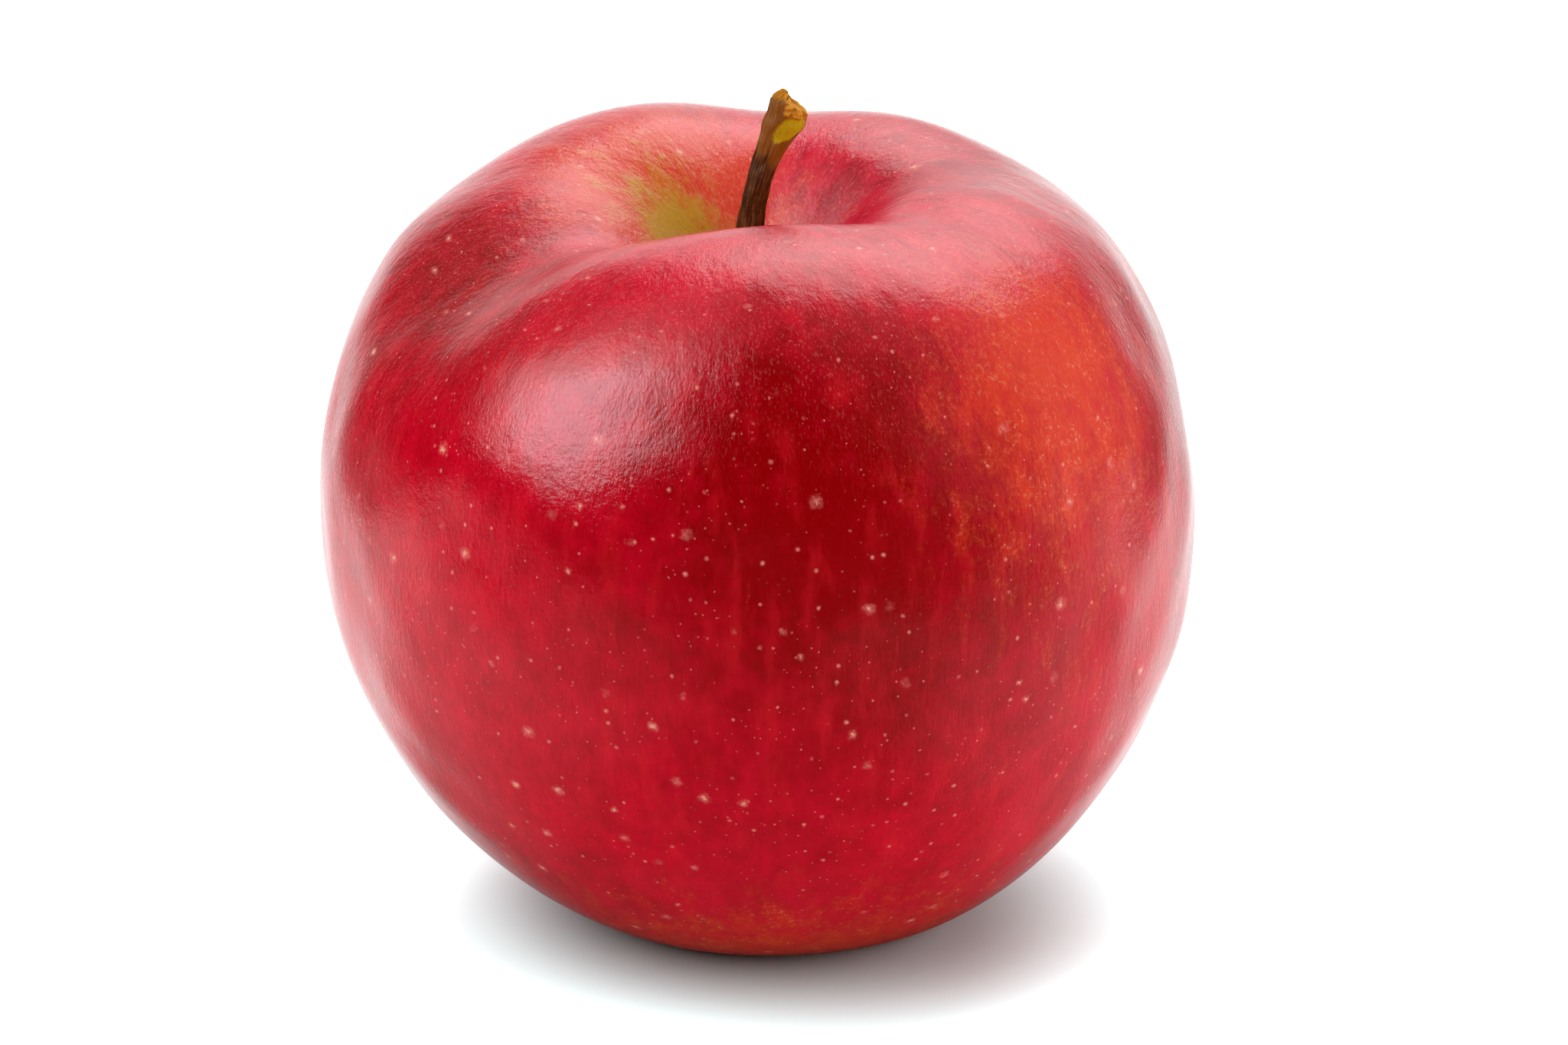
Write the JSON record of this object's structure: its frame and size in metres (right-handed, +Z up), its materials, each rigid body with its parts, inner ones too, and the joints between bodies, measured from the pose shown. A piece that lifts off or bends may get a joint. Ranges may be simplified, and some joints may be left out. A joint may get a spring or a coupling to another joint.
{
  "type": "apple",
  "caption": "Round apple with a stem in its upper hollow and dried sepals in its lower one, standing on a flat rim.",
  "frame": {"origin": "on the surface the apple stands on, under the middle of the fruit's width and depth", "axes": "+Z up along the fruit's core, -Y towards the front, +X to the right seen from the front"},
  "size_m": [0.08, 0.0808, 0.0782],
  "materials": {
    "skin": "waxy crimson skin, semi-gloss",
    "bark": "rough brown bark",
    "dried_leaf": "dry, matte",
    "dried_stamen": "dry, matte"
  },
  "bodies": {
    "root": {"fruit": "skin", "stem": "bark", "stamen_tuft": "dried_stamen", "sepal_1": "dried_leaf", "sepal_2": "dried_leaf", "sepal_3": "dried_leaf", "sepal_4": "dried_leaf", "sepal_5": "dried_leaf"}
  },
  "joints": []
}
